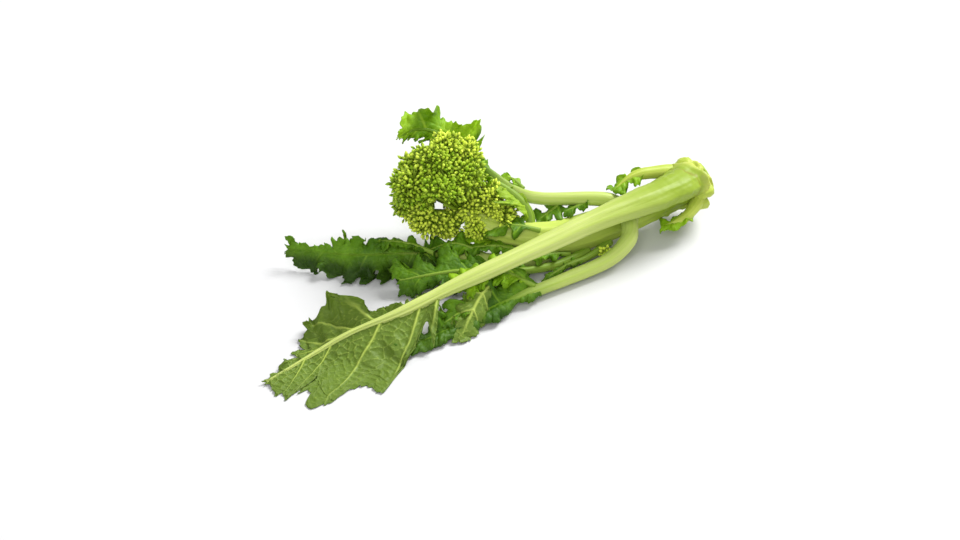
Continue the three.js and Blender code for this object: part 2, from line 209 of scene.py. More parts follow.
def make_piece(name, points, faces, material, nodes=(), layers=None):
    """A mesh object from points in the shoot's frame, with a float attribute for each layer."""
    mesh = bpy.data.meshes.new(name)
    mesh.from_pydata(to_row(points).tolist(), [], [list(map(int, face)) for face in faces])
    for layer, values in (layers or {}).items():
        attribute = mesh.attributes.new(layer, "FLOAT", "POINT")
        attribute.data.foreach_set("value", np.asarray(values, dtype=np.float32).ravel())
    mesh.polygons.foreach_set("use_smooth", [True] * len(mesh.polygons))
    mesh.materials.append(material)
    mesh.validate()
    piece = bpy.data.objects.new(name, mesh)
    bpy.context.scene.collection.objects.link(piece)
    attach(piece, "root")
    if nodes:
        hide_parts(*nodes)
    return piece


def tube_mesh(route, radius, sides=28, step=1.2, relief=None, widen=None):
    """Points, faces and layers of a closed stalk. relief(turn, t, along) is added to its radius."""
    rows = max(6, int(route.length / step))
    t = np.linspace(0, 1, rows)
    turn = np.linspace(0, 2 * math.pi, sides, endpoint=False)
    centre, _, side, normal = route.sample(t)
    t_grid, turn_grid = np.meshgrid(t, turn, indexing="ij")
    spread = radius(t_grid)
    if relief is not None:
        spread = spread + relief(turn_grid, t_grid, t_grid * route.length)
    wide = np.ones(rows) if widen is None else widen(t)
    points = (centre[:, None] + (side[:, None] * (np.cos(turn_grid) * wide[:, None])[..., None]
                                 + normal[:, None] * np.sin(turn_grid)[..., None]) * spread[..., None])
    lay_on_table(points)
    flat = points.reshape(-1, 3)
    count = len(flat)
    faces = [quad[::-1] for quad in grid_quads(rows, sides, wrap=True)]
    caps = np.array([points[0].mean(axis=0), points[-1].mean(axis=0)])
    for j in range(sides):
        k = (j + 1) % sides
        faces.append((count, j, k))
        faces.append((count + 1, (rows - 1) * sides + k, (rows - 1) * sides + j))
    layers = {
        "along": np.append(t_grid.ravel() * route.length, [0, route.length]),
        "around": np.append(turn_grid.ravel(), [0, 0]),
        "share": np.append(t_grid.ravel(), [0, 1]),
    }
    return np.vstack([flat, caps]), faces, layers


def ridges(count, depth, seed):
    """Long ribs round a stalk, wandering a little along it."""
    rng = np.random.default_rng(seed)
    phase = rng.uniform(0, 2 * math.pi, 3)

    def relief(turn, t, along):
        drift = 0.25 * np.sin(along / 47 + phase[0])
        rib = np.cos(count * (turn + drift) + phase[1])
        fine = np.cos((2 * count + 3) * (turn - drift) + phase[2])
        return depth * (0.7 * rib + 0.3 * fine)

    return relief


def stalk_piece(name, route, radius, material, slot, nodes=(), relief=None, **options):
    points, faces, layers = tube_mesh(route, radius, relief=relief, **options)
    return make_piece(name, points, faces, material, nodes, layers)


def leaf_stalk(node, route, radius, material, **options):
    """The stalk of a whole leaf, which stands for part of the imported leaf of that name."""
    stalk_piece(node + "_stalk", route, taper(*radius), material, "stalk", (node,), **options)


# One half of a blade is described by a form. Its knots run from the blade's foot (0) to its tip (1):
#   reach         width from midrib to margin
#   slant         degrees that it leans towards the tip
#   inner, outer  degrees that it droops, by the midrib and at the margin; below 0 it rises
#   veins         where side veins leave the midrib
FORM_DEFAULTS = {
    "slant": [(0, 30), (0.7, 42), (1, 70)],
    "frill": 110,  # degrees that the margin is turned by its waves
    "frill_length": 15,
    "lobing": 0.28,  # share by which the reach wanders
    "teeth": 1.9,
    "tooth_spacing": 3.6,
}


def leaf_side(route, u, start, side_sign, form, step):
    """Points of one half of a blade, from the midrib outwards, and where they lie in the flat blade."""
    form = {**FORM_DEFAULTS, **form}
    length = route.length * (1 - start)
    run = u * length
    centre, forward, side, normal = route.sample(start + (1 - start) * u)
    seed = form["seed"]
    reach = eased(u, form["reach"])
    lobes = 1 + form["lobing"] * waves(run[:, None], 9, seed, octaves=2)
    spacing = form["tooth_spacing"]
    tooth = np.mod(run / spacing + 0.35 * waves(run[:, None], 19, seed + 3), 1.0)
    saw = np.where(tooth < 0.75, tooth / 0.75, (1 - tooth) / 0.25) - 0.5
    bite = form["teeth"] * (1 + 0.5 * waves(run[:, None], 9, seed + 4))
    teeth = saw * bite * np.minimum(1, reach / 9)
    reach = np.maximum(reach * lobes + teeth, 0.4)
    slant = np.radians(eased(u, form["slant"]))
    columns = max(6, int(max(value for _, value in form["reach"]) / (step * 1.1)))
    _, v = np.meshgrid(u, np.linspace(0, 1, columns), indexing="ij")
    inner = np.radians(eased(u, form["inner"]))[:, None]
    outer = np.radians(eased(u, form["outer"]))[:, None]
    wave_length = form["frill_length"]
    edge_run = run[:, None] + v * reach[:, None] * np.sin(slant)[:, None]
    broad = waves(edge_run[..., None], wave_length, seed + 1, octaves=2)
    small = waves(np.stack([edge_run, v * 4], -1), wave_length * 0.42, seed + 2, octaves=2)
    frill = np.radians(form["frill"])
    angle = inner + (outer - inner) * v + frill * (broad * v ** 1.3 + 0.6 * small * v ** 2.2)
    level = side[:, None] * (side_sign * np.cos(slant))[:, None, None]
    level = level + forward[:, None] * np.sin(slant)[:, None, None]
    move = level * np.cos(angle)[..., None] - normal[:, None] * np.sin(angle)[..., None]
    pitch = (reach / (columns - 1))[:, None, None]
    points = centre[:, None] + np.cumsum(move * pitch, axis=1) - move[:, :1] * pitch
    flat_y = side_sign * v * reach[:, None] * np.cos(slant)[:, None]
    return points, edge_run, flat_y, v, reach


VEIN_CELL = 5.2  # size of the cells between the small veins
FINE_VEIN_CELL = 0.42 * VEIN_CELL
BLADE_REST = 1.2  # height over which a blade bends level as it comes down to the table
LEAST_THICKNESS = 0.4  # of a blade where it lies on the table
LEAST_GAP = 0.02  # between the two faces of a blade anywhere


def vein_field(u, length, grid_v, reach, veins, width):
    """1 along each side vein, which leaves the midrib at a share u and runs out to the margin."""
    field = np.zeros(grid_v.shape)
    for at in veins:
        wander = 1.2 * np.sin(grid_v * reach[:, None] / 7 + at * 40)
        gap = np.abs((u[:, None] - at) * length + wander * grid_v)
        half = width * (1 - 0.72 * grid_v) + 0.12
        field = np.maximum(field, np.exp(-(gap / half) ** 2) * (1 - 0.55 * grid_v))
    return field


def leaf_piece(name, route, start, near, far, material, nodes, seed, flipped=False, step=0.65,
               thickness=0.55, pucker=0.7, vein_width=1.0, vein_height=0.7):
    """A lobed, frilled and puckered blade as a closed thin shell, with its veins raised beneath."""
    length = route.length * (1 - start)
    rows = max(12, int(length / step))
    u = np.linspace(0, 1, rows)
    halves = []
    for sign, form in ((-1, near), (1, far)):
        points, x, y, v, reach = leaf_side(route, u, start, sign, form, step)
        field = vein_field(u, length, v, reach, form["veins"], vein_width)
        halves.append([points, x, y, v, field])
    merged = [np.concatenate([a[:, :0:-1], b], axis=1) for a, b in zip(*halves)]
    points, x, y, v, main_veins = merged
    rows, columns = v.shape
    net = cell_edges(x + 0.8 * np.sin(y / 3), y, VEIN_CELL, seed)
    fine = cell_edges(x, y + 0.5 * np.sin(x / 2), FINE_VEIN_CELL, seed + 5)
    branch = 0.62 * np.exp(-(net / 0.16) ** 2)
    twig = 0.34 * np.exp(-(fine / 0.22) ** 2)
    midrib = np.exp(-((np.abs(y) / (1.3 * vein_width)) ** 2)) * (1 - u[:, None] ** 3)
    veins = np.maximum.reduce([main_veins, branch * (1 - 0.5 * v), twig, midrib])
    settle(points, BLADE_REST, BLADE_REST)
    along = unit(np.gradient(points, axis=0))
    across = unit(np.gradient(points, axis=1))
    normal = unit(np.cross(along, -across))
    swell = pucker * (net ** 0.7 * 0.9 + 0.3 * fine) * (1 - main_veins) * smoothstep(v * 4 + 0.15)
    swell = swell + 0.5 * pucker * waves(np.stack([x, y], -1), 13, seed + 9)
    facing = -1.0 if flipped else 1.0
    points = points + normal * (facing * swell)[..., None]
    raised = vein_height * np.maximum(main_veins, 0.45 * branch)
    edge = 1 - 0.55 * smoothstep((v - 0.85) / 0.15)
    half = thickness / 2 * edge
    above, below = (half + raised, half) if flipped else (half, half + raised)
    upper = points + normal * above[..., None]
    lower = points - normal * below[..., None]
    lay_on_table(upper, TABLE_GAP + LEAST_THICKNESS)
    lay_on_table(lower)
    upper[..., 2] = np.maximum(upper[..., 2], lower[..., 2] + LEAST_GAP)
    count = rows * columns
    top = grid_quads(rows, columns)
    bottom = grid_quads(rows, columns, offset=count)[:, ::-1]
    grid = np.arange(count).reshape(rows, columns)
    rim = [*grid[0], *grid[1:, -1], *grid[-1, -2::-1], *grid[-2:0:-1, 0]]
    wall = [(b, a, a + count, b + count) for a, b in zip(rim, rim[1:] + rim[:1])]
    faces = [tuple(quad) for quad in top] + [tuple(quad) for quad in bottom] + wall
    under = np.repeat([1.0, 0.0] if flipped else [0.0, 1.0], count)
    cloud = np.concatenate([upper.reshape(-1, 3), lower.reshape(-1, 3)])
    layers = {
        "vein": np.tile(veins.ravel(), 2),
        "margin": np.tile(v.ravel(), 2),
        "under": under,
        "height": cloud[:, 2],
    }
    return make_piece(name, cloud, faces, material, nodes, layers)


# ---- Materials ----

def srgb(r, g, b):
    """A linear colour from 0-255 sRGB values."""
    linear = lambda c: c / 12.92 if c <= 0.04045 else ((c + 0.055) / 1.055) ** 2.4
    return tuple(linear(c / 255) for c in (r, g, b)) + (1.0,)


# Where the colour sockets stand on Blender's mix node.
MIX_SHARE, MIX_COLOUR_A, MIX_COLOUR_B, MIX_RESULT = 0, 6, 7, 2


class Nodes:
    """Short calls for building a node material."""

    def __init__(self, name, roughness, bleed=0.0):
        self.material = bpy.data.materials.new(name)
        self.material.use_nodes = True
        self.tree = self.material.node_tree
        self.shader = self.tree.nodes["Principled BSDF"]
        self.shader.inputs["Roughness"].default_value = roughness
        self.shader.inputs["Specular IOR Level"].default_value = 0.2
        if bleed:
            self.shader.inputs["Subsurface Weight"].default_value = bleed
            self.shader.inputs["Subsurface Radius"].default_value = (0.9, 1.0, 0.35)
            self.shader.inputs["Subsurface Scale"].default_value = 0.0025

    def add(self, kind, **settings):
        node = self.tree.nodes.new(kind)
        for key, value in settings.items():
            setattr(node, key, value)
        return node

    def link(self, source, target):
        self.tree.links.new(source, target)

    def fill(self, sockets, values):
        """Gives each socket its value: a number, a colour, or another node's output."""
        for socket, value in zip(sockets, values):
            if isinstance(value, (int, float, tuple)):
                socket.default_value = value
            else:
                self.link(value, socket)

    def layer(self, name):
        return self.add("ShaderNodeAttribute", attribute_name=name).outputs["Fac"]

    def place(self):
        return self.add("ShaderNodeTexCoord").outputs["Object"]

    def noise(self, scale, detail=4.0, vector=None):
        node = self.add("ShaderNodeTexNoise")
        node.inputs["Scale"].default_value = scale
        node.inputs["Detail"].default_value = detail
        self.link(vector or self.place(), node.inputs["Vector"])
        return node.outputs["Fac"]

    def math(self, operation, a, b=0.0, clamp=False):
        node = self.add("ShaderNodeMath", operation=operation, use_clamp=clamp)
        self.fill(node.inputs, (a, b))
        return node.outputs[0]

    def spread(self, value, low, high):
        """value taken from low..high to 0..1."""
        node = self.add("ShaderNodeMapRange")
        node.inputs["From Min"].default_value = low
        node.inputs["From Max"].default_value = high
        self.link(value, node.inputs["Value"])
        return node.outputs["Result"]

    def mix(self, share, a, b, strength=None):
        """From a to b by share, which strength scales down."""
        if strength:
            share = self.math("MULTIPLY", share, strength)
        node = self.add("ShaderNodeMix", data_type="RGBA")
        self.link(share, node.inputs[MIX_SHARE])
        self.fill((node.inputs[MIX_COLOUR_A], node.inputs[MIX_COLOUR_B]), (a, b))
        return node.outputs[MIX_RESULT]

    def joined(self, x, y, z):
        node = self.add("ShaderNodeCombineXYZ")
        self.fill(node.inputs, (x, y, z))
        return node.outputs["Vector"]

    def bump(self, height, distance, strength=1.0):
        node = self.add("ShaderNodeBump")
        node.inputs["Distance"].default_value = distance
        node.inputs["Strength"].default_value = strength
        self.link(height, node.inputs["Height"])
        self.link(node.outputs["Normal"], self.shader.inputs["Normal"])

    def finish(self, colour, roughness=None):
        self.link(colour, self.shader.inputs["Base Color"])
        if roughness is not None:
            self.link(roughness, self.shader.inputs["Roughness"])
        return self.material


def leaf_material(name, top, top_dark, under, vein, painted_low_shade=None):
    """Blade: darker in its cells, paler along its veins, with a matt, paler underside, and, when asked,
    painted shade that darkens it where it comes low over the table.
    """
    n = Nodes(name, 0.6, bleed=0.12)
    broad = n.spread(n.noise(38), 0.35, 0.65)
    fine = n.spread(n.noise(420, 2.0), 0.3, 0.7)
    upper = n.mix(broad, top_dark, top)
    upper = n.mix(fine, upper, top_dark, 0.35)
    lower = n.mix(broad, under, tuple(0.82 * c for c in under[:3]) + (1.0,), 0.6)
    face = n.mix(n.layer("under"), upper, lower)
    coloured = n.mix(n.spread(n.layer("vein"), 0.2, 0.9), face, vein, 0.8)
    # Painted shade: the colour goes towards a shade colour as the blade comes down between the two
    # heights.
    if painted_low_shade:
        colour, low, high = painted_low_shade
        coloured = n.mix(n.spread(n.layer("height"), high, low), coloured, colour, 0.85)
    coloured = n.mix(n.spread(n.layer("margin"), 0.9, 1.0), coloured, top_dark, 0.25)
    n.bump(n.math("ADD", n.noise(900, 3.0), n.math("MULTIPLY", n.layer("vein"), -0.6)), 0.0003, 0.5)
    return n.finish(coloured, n.spread(n.noise(300, 2.0), -0.9, 1.6))


def pith_material(name, pale, ring, rim):
    """Cut face: pale pith, a greener ring of fibres, and a green skin at the rim."""
    n = Nodes(name, 0.55, bleed=0.2)
    share = n.layer("share")
    inner = n.mix(n.spread(n.noise(900, 3.0), 0.35, 0.65), pale, ring, 0.4)
    ringed = n.mix(n.spread(n.math("ABSOLUTE", n.math("SUBTRACT", share, 0.72)), 0.12, 0.0), inner, ring)
    colour = n.mix(n.spread(share, 0.88, 0.98), ringed, rim)
    n.bump(n.noise(1300, 3.0), 0.0004, 0.6)
    return n.finish(colour)


# Where the foot of a stalk changes colour, in millimetres along it.
GREEN_FOOT = (115.0, 40.0)
PALE_FOOT = (17.0, 7.0)
SCAR_AND_CREASE_SHADE_LINE = 19.0


def stalk_material(name, light, mid, dark, bleed=0.15, foot=None, end=None):
    """Stalk: long pale and green streaks that follow its length, and a paler foot with a dark ring that
    is partly scar and partly painted shade in the crease there.
    """
    n = Nodes(name, 0.42, bleed=bleed)
    around = n.layer("around")
    ring = n.joined(n.math("COSINE", around), n.math("SINE", around),
                    n.math("MULTIPLY", n.layer("along"), 0.004))
    streaks = n.spread(n.noise(2.2, 3.0, vector=ring), 0.32, 0.68)
    fibres = n.noise(9.0, 2.0, vector=ring)
    patches = n.spread(n.noise(22), 0.3, 0.7)
    colour = n.mix(streaks, mid, light)
    colour = n.mix(n.spread(fibres, 0.5, 0.75), colour, dark, 0.35)
    colour = n.mix(patches, colour, mid, 0.3)
    if end:
        colour = n.mix(n.spread(n.layer("share"), 0.4, 0.62), colour, end)
    if foot:
        green, pale, scar_and_crease_shade = foot
        edge = n.math("ADD", n.layer("along"), n.math("MULTIPLY", n.noise(60), 16.0))
        colour = n.mix(n.spread(edge, *GREEN_FOOT), colour, green, 0.85)
        colour = n.mix(n.spread(edge, *PALE_FOOT), colour, pale, 0.8)
        # The ring is partly a brown scar and partly painted shade standing in for the crease where the
        # stalks meet.
        line = n.spread(n.math("ABSOLUTE", n.math("SUBTRACT", edge, SCAR_AND_CREASE_SHADE_LINE)), 1.4, 0.2)
        colour = n.mix(line, colour, scar_and_crease_shade, 0.5)
    n.bump(n.math("ADD", fibres, n.math("MULTIPLY", n.noise(700, 2.0), 0.25)), 0.0004, 0.35)
    return n.finish(colour)


def bud_material(name, light, mid, dark):
    """Buds: each its own green, paler towards the tip; darker towards the base and on the stalklets,
    partly their own green and partly painted shade for the gaps inside the head.
    """
    n = Nodes(name, 0.45, bleed=0.1)
    colour = n.mix(n.math("POWER", n.layer("tone"), 1.6, clamp=True), mid, light)
    # Partly painted shade: the bases and stalklets darken as the gaps between the buds would be in
    # shadow.
    colour = n.mix(n.spread(n.layer("tip"), 0.7, 0.1), colour, dark, 0.85)
    n.bump(n.noise(1400, 2.0), 0.0002, 0.4)
    return n.finish(colour)


# The third foot colour is the scar ring, partly real scar and partly painted crease shade.
FOOT = (srgb(130, 156, 28), srgb(204, 208, 104), srgb(128, 112, 32))
PITH = pith_material("pith", srgb(226, 232, 176), srgb(196, 212, 120), srgb(160, 184, 80))
STALK = stalk_material("pale_stalk", srgb(203, 212, 132), srgb(180, 198, 98), srgb(140, 166, 60),
                       foot=FOOT)
STEM = stalk_material("stem_skin", srgb(198, 213, 108), srgb(174, 195, 76), srgb(134, 160, 48), foot=FOOT)
BASE_STALK = stalk_material("base_stalk", srgb(196, 206, 98), srgb(164, 184, 62), srgb(126, 152, 36))
LEAF_STALK = stalk_material("leaf_stalk", srgb(193, 204, 122), srgb(170, 192, 86), srgb(132, 160, 54),
                            end=srgb(98, 134, 22))
RIB = stalk_material("leaf_rib", srgb(150, 178, 70), srgb(112, 144, 38), srgb(80, 112, 20))
FRONT_BLADE = leaf_material("front_blade", srgb(84, 122, 28), srgb(46, 78, 8),
                            srgb(99, 124, 40), srgb(182, 200, 92))
# The dark blade's last setting paints shade on it below 12 mm above the table.
DARK_BLADE = leaf_material("dark_blade", srgb(106, 150, 18), srgb(58, 98, 4),
                           srgb(114, 150, 36), srgb(130, 168, 40), painted_low_shade=(srgb(34, 64, 2), 1.5, 12.0))
# A copy of the blade for the far leaf with heavier painted shade, darkening its hanging half below 14.5
# mm as if in shadow.
LOW_SHADED_BLADE = leaf_material("low_shaded_blade", srgb(104, 148, 22), srgb(66, 108, 8),
                           srgb(120, 156, 36), srgb(126, 166, 44), painted_low_shade=(srgb(26, 50, 2), 7.5, 14.5))
LIGHT_BLADE = leaf_material("light_blade", srgb(146, 186, 24), srgb(98, 142, 10),
                            srgb(140, 172, 42), srgb(160, 192, 50))
BUD = bud_material("bud", srgb(224, 242, 82), srgb(136, 176, 24), srgb(50, 84, 4))


# ---- Main stem ----

STEM_ROUTE = Route([
    (0, 2, 28), (-43, 2, 20), (-76, 2, 17), (-107, 6, 14.5),
    (-130, 14, 18), (-147, 24.5, 22), (-158, 34, 28.5), (-169, 46, 38),
])
stem_radius = taper((0, 13.4), (0.22, 10.8), (0.55, 12), (0.8, 8), (1, 4))
stem_ribs = ridges(9, 0.45, 3)
# Leaf scars near the cut: how far along the stem, how proud, and at which turn round it.
SCARS = ((7, 2.2, 0.9), (13, 1.8, 5.4), (21, 1.3, 2.6), (33, 0.8, 4.4))


def stem_relief(turn, t, along):
    """Ribs, leaf scars as short proud bands, and lumps near the cut."""
    total = stem_ribs(turn, t, along)
    for at, height, way in SCARS:
        band = np.exp(-((along - at - 1.8 * np.sin(2 * turn)) / 1.5) ** 2)
        total = total + height * band * (0.45 + 0.55 * np.cos(turn - way))
    lumps = waves(np.stack([along, 12 * np.cos(turn), 12 * np.sin(turn)], -1), 14, 5)
    return total + 1.8 * lumps * np.exp(-along / 24)


stalk_piece("main_stem_skin", STEM_ROUTE, stem_radius, STEM, "stem", ("main_stem",),
            relief=stem_relief, sides=64)


PITH_INSET = 0.9  # between the edge of the pith and the stem's skin
PITH_PROUD = 0.9  # the pith stands out of the stem's end by this much
PITH_DEPTH = 1.6


def cut_face():
    """A pale, slightly hollow disc of pith over the end of the stem, with a raised rim."""
    centre, forward, side, normal = (value[0] for value in STEM_ROUTE.sample(np.array([0.0])))
    shares = np.linspace(1, 0.06, 16)
    turn = np.linspace(0, 2 * math.pi, 72, endpoint=False)
    share_grid, turn_grid = np.meshgrid(shares, turn, indexing="ij")
    reach = (stem_radius(np.array(0.0)) - PITH_INSET) * share_grid
    reach = reach * (1 + 0.02 * np.sin(5 * turn_grid))
    across, up = reach * np.cos(turn_grid), reach * np.sin(turn_grid)
    rim = 0.7 * np.exp(-((share_grid - 0.82) / 0.12) ** 2)
    hollow = 0.5 * (1 - share_grid ** 2)
    rough = 0.15 * waves(np.stack([across, up], -1), 3, 8)
    rise = PITH_PROUD + (rim - hollow + rough)
    front = centre + side * across[..., None] + normal * up[..., None] - forward * rise[..., None]
    back = front[0] + forward * PITH_DEPTH
    points = np.vstack([front.reshape(-1, 3), back, [front[-1].mean(axis=0)], [back.mean(axis=0)]])
    sides, rows = len(turn), len(shares)
    faces = grid_quads(rows, sides, wrap=True).tolist()
    back_at, middle = rows * sides, rows * sides + sides
    for j in range(sides):
        k = (j + 1) % sides
        faces.append([(rows - 1) * sides + j, (rows - 1) * sides + k, middle])
        faces.append([k, j, back_at + j, back_at + k])
        faces.append([back_at + k, back_at + j, middle + 1])
    layers = {"share": np.concatenate([share_grid.ravel(), np.ones(sides), [0, 1]])}
    make_piece("cut_face", points, faces, PITH, ("main_stem",), layers)


cut_face()
CUT_STALKS = [
    # name, where it leaves the stem, its cut end, radius
    ("cut_stalk_top", (-20, 8, 33), (-4, 9, 38), 5.4),
    ("cut_stalk_front", (-17, -9, 26), (-2, -11, 29), 5.0),
    ("cut_stalk_low", (-21, -8, 19), (-5, -10, 20), 4.8),
    ("cut_stalk_back", (-19, 11, 18), (-4, 14, 20), 4.8),
]
FOOT_HEIGHT = 22  # the cut stalks bulge away from this height


def cut_stalk(number, name, start, end, radius):
    """The stub of a leaf stalk at the foot, swollen and lumpy, with a rounded cut end."""
    start, end = np.array(start, float), np.array(end, float)
    outward = unit((end - [0, 0, FOOT_HEIGHT]) * [0, 1, 1])
    bulge = (start + end) / 2 + np.array([1.0, 0, 0]) + 1.4 * outward
    swell = taper((0, 0.3 * radius), (0.5, 0.95 * radius), (0.8, radius), (0.96, 0.86 * radius),
                  (1, 0.5 * radius))

    def lumps(turn, t, along):
        return 0.5 * waves(np.stack([along, 6 * np.cos(turn + number)], -1), 7, 90 + number)

    stalk_piece(name, Route([start, bulge, end]), swell, BASE_STALK, "stem", ("main_stem",), relief=lumps,
                widen=taper((0, 1.3), (1, 1.3)), sides=32, step=0.6)


for number, stub in enumerate(CUT_STALKS):
    cut_stalk(number, *stub)

# ---- Front leaf ----

FRONT_ROUTE = Route([
    (-10, -1, 34), (-40, -11, 37.5), (-92, -16, 37.5), (-132, -18, 33.5), (-172, -20, 30),
    (-208, -20, 25), (-244, -20, 19), (-277, -15, 12), (-304, -15, 5), (-340, -22, 1.6),
])
front_radius = taper((0, 9.5), (0.1, 8.2), (0.3, 6.7), (0.5, 5.4), (0.66, 3.6), (0.8, 1.8), (1, 0.6))
front_width = taper((0, 1.55), (0.12, 1.4), (0.32, 1.05), (1, 1))
front_ribs = ridges(7, 0.4, 5)


def front_relief(turn, t, along):
    """Ribs, with a swollen, lumpy foot where the stalk clasps the stem."""
    lip = 1.8 * np.exp(-((along - 4) / 2.2) ** 2) * (1 + 0.5 * np.sin(3 * turn + 1))
    lumps = 1.4 * waves(np.stack([along, 8 * np.cos(turn), 8 * np.sin(turn)], -1), 15, 7)
    return front_ribs(turn, t, along) + lip + lumps * np.exp(-along / 25)


stalk_piece("front_leaf_stalk", FRONT_ROUTE, front_radius, STALK, "stalk", ("front_leaf",),
            relief=front_relief, widen=front_width, sides=48)
front_near = {
    "reach": [(0, 38), (0.055, 17), (0.085, 50), (0.12, 80), (0.2, 66), (0.25, 72), (0.33, 90),
              (0.43, 70), (0.5, 54), (0.62, 58), (0.8, 31), (1, 3)],
    "slant": [(0, 40), (0.1, 51), (0.2, 55), (0.33, 50), (0.46, 60), (0.63, 60), (1, 62)],
    "inner": [(0, 22), (0.4, 18), (1, 6)],
    "outer": [(0, 16), (0.4, 12), (1, 2)],
    "veins": [0.02, 0.11, 0.33, 0.6, 0.76],
    "frill": 55,
    "frill_length": 20,
    "lobing": 0.06,
    "teeth": 1.6,
    "tooth_spacing": 3.0,
    "seed": 11,
}
front_far = {
    "reach": [(0, 2), (0.1, 6), (0.22, 8), (0.32, 9), (0.36, 24), (0.39, 43), (0.44, 36), (0.49, 39),
              (0.55, 33), (0.62, 26), (0.72, 18), (0.86, 10), (1, 3)],
    "slant": [(0, 42), (0.34, 28), (0.4, 31), (0.48, 44), (0.6, 58), (1, 64)],
    "inner": [(0, -10), (0.3, -10), (0.46, 12), (1, 2)],
    "outer": [(0, -40), (0.3, -64), (0.38, -58), (0.46, -12), (0.54, 16), (1, 6)],
    "veins": [0.36, 0.46, 0.55, 0.66],
    "frill": 85,
    "frill_length": 14,
    "lobing": 0.13,
    "teeth": 1.7,
    "tooth_spacing": 2.8,
    "seed": 21,
}
leaf_piece("front_leaf_blade", FRONT_ROUTE, 0.62, front_near, front_far, FRONT_BLADE,
           ("front_leaf",), flipped=True, seed=31, vein_width=1.25, vein_height=0.9)

# ---- Low leaf ----

LOW_ROUTE = Route([
    (-61, -3, 20), (-67, -11, 23), (-74, -21, 17), (-92, -24.5, 8.5), (-127, -26.5, 6.6),
    (-164, -29, 6.5), (-205, -33.5, 5.6), (-256, -38.5, 3),
])
leaf_stalk("low_leaf", LOW_ROUTE, [(0, 5.8), (0.3, 4.8), (0.48, 4.1), (0.62, 2.0), (0.8, 1.2), (1, 0.5)],
           LEAF_STALK, relief=ridges(6, 0.25, 7), sides=32)
low_near = {
    "reach": [(0, 4), (0.1, 9), (0.2, 5), (0.3, 14), (0.44, 13), (0.6, 9), (0.74, 13), (0.88, 11),
              (1, 2)],
    "inner": [(0, -55), (1, -30)],
    "outer": [(0, 95), (1, 60)],
    "veins": [0.1, 0.42, 0.76],
    "frill": 50,
    "frill_length": 20,
    "lobing": 0.12,
    "seed": 41,
}
low_far = {
    "reach": [(0, 6), (0.1, 28), (0.2, 15), (0.32, 30), (0.46, 17), (0.58, 24), (0.74, 13),
              (0.88, 15), (1, 3)],
    "inner": [(0, -48), (0.5, -38), (1, -18)],
    "outer": [(0, -30), (1, -8)],
    "veins": [0.09, 0.3, 0.45, 0.6, 0.84],
    "frill": 130,
    "frill_length": 16,
    "seed": 51,
}
leaf_piece("low_leaf_blade", LOW_ROUTE, 0.45, low_near, low_far, DARK_BLADE,
           ("low_leaf",), seed=61)

LOBE_ROUTE = Route([(-180, -22, 19), (-191, -28, 17), (-203, -36, 11), (-216, -45, 2)],
                   sideways=(-0.8, 0.3, 0.2))
lobe_side = {
    "reach": [(0, 4), (0.2, 12), (0.4, 15), (0.7, 13), (0.9, 9), (1, 3)],
    "inner": [(0, 10), (1, 5)],
    "outer": [(0, 35), (1, 20)],
    "veins": [0.2, 0.5],
    "frill": 50,
    "frill_length": 12,
    "lobing": 0.12,
    "seed": 55,
}
leaf_piece("low_leaf_lobe", LOBE_ROUTE, 0.02, lobe_side, {**lobe_side, "seed": 57}, FRONT_BLADE,
           ("low_leaf",), flipped=True, seed=59, vein_width=0.8, pucker=0.4)

# ---- Back leaf ----

BACK_ROUTE = Route([
    (-57, 2.6, 17), (-71, 10.5, 29.5), (-112, 26.5, 35), (-126, 39, 38.5), (-137, 57, 48),
    (-149, 78, 61), (-160, 88, 69), (-172, 92, 72), (-184, 93, 69),
], sideways=(0.35, 0.45, 0.85))
leaf_stalk("back_leaf", BACK_ROUTE, [(0, 5.2), (0.4, 4.2), (0.7, 2.4), (1, 0.6)],
           LEAF_STALK, relief=ridges(5, 0.2, 9), sides=28)
back_up = {
    "reach": [(0, 2), (0.08, 7), (0.16, 4), (0.26, 19), (0.38, 21), (0.5, 11), (0.62, 17),
              (0.78, 15), (0.92, 5), (1, 2)],
    "inner": [(0, 10), (1, 0)],
    "outer": [(0, 20), (1, 15)],
    "slant": [(0, 5), (0.45, 0), (0.7, 20), (1, 50)],
    "veins": [0.12, 0.36, 0.72],
    "frill": 80,
    "tooth_spacing": 2.6,
    "lobing": 0.16,
    "seed": 81,
}
back_down = {
    "reach": [(0, 2), (0.2, 9), (0.4, 14), (0.6, 12), (0.8, 13), (0.93, 6), (1, 2)],
    "inner": [(0, -10), (1, 0)],
    "outer": [(0, 10), (1, 30)],
    "veins": [0.2, 0.45, 0.8],
    "seed": 71,
}
leaf_piece("back_leaf_blade", BACK_ROUTE, 0.6, back_down, back_up, LIGHT_BLADE,
           ("back_leaf",), seed=91)

# ---- Far leaf ----

FAR_ROUTE = Route([
    (-110, 4.4, 10), (-134, 1.7, 9), (-157, 10, 9), (-184, 30, 12.5), (-212, 44, 14.5),
    (-238, 58, 14), (-271, 88, 12),
])
leaf_stalk("far_leaf", FAR_ROUTE, [(0, 6), (0.3, 5.4), (0.42, 2.4), (0.55, 1.0), (1, 0.4)],
           LEAF_STALK, relief=ridges(5, 0.2, 13), sides=28)
far_near = {
    "reach": [(0, 3), (0.12, 21), (0.26, 27), (0.4, 22), (0.55, 30), (0.68, 20), (0.82, 18),
              (0.94, 9), (1, 3)],
    "inner": [(0, 34), (1, 34)],
    "outer": [(0, 66), (1, 58)],
    "veins": [0.1, 0.3, 0.55, 0.8],
    "frill": 90,
    "seed": 101,
}
far_far = {
    "reach": [(0, 3), (0.14, 12), (0.28, 7), (0.4, 9), (0.54, 15), (0.64, 16), (0.74, 7),
              (0.85, 5), (0.95, 12), (1, 4)],
    "inner": [(0, -35), (1, -45)],
    "outer": [(0, -55), (1, -50)],
    "veins": [0.12, 0.42, 0.72],
    "frill": 100,
    "frill_length": 12,
    "seed": 111,
}
leaf_piece("far_leaf_blade", FAR_ROUTE, 0.36, far_near, far_far, LOW_SHADED_BLADE, ("far_leaf",),
           seed=121, vein_width=0.7)

# ---- Inner leaf ----

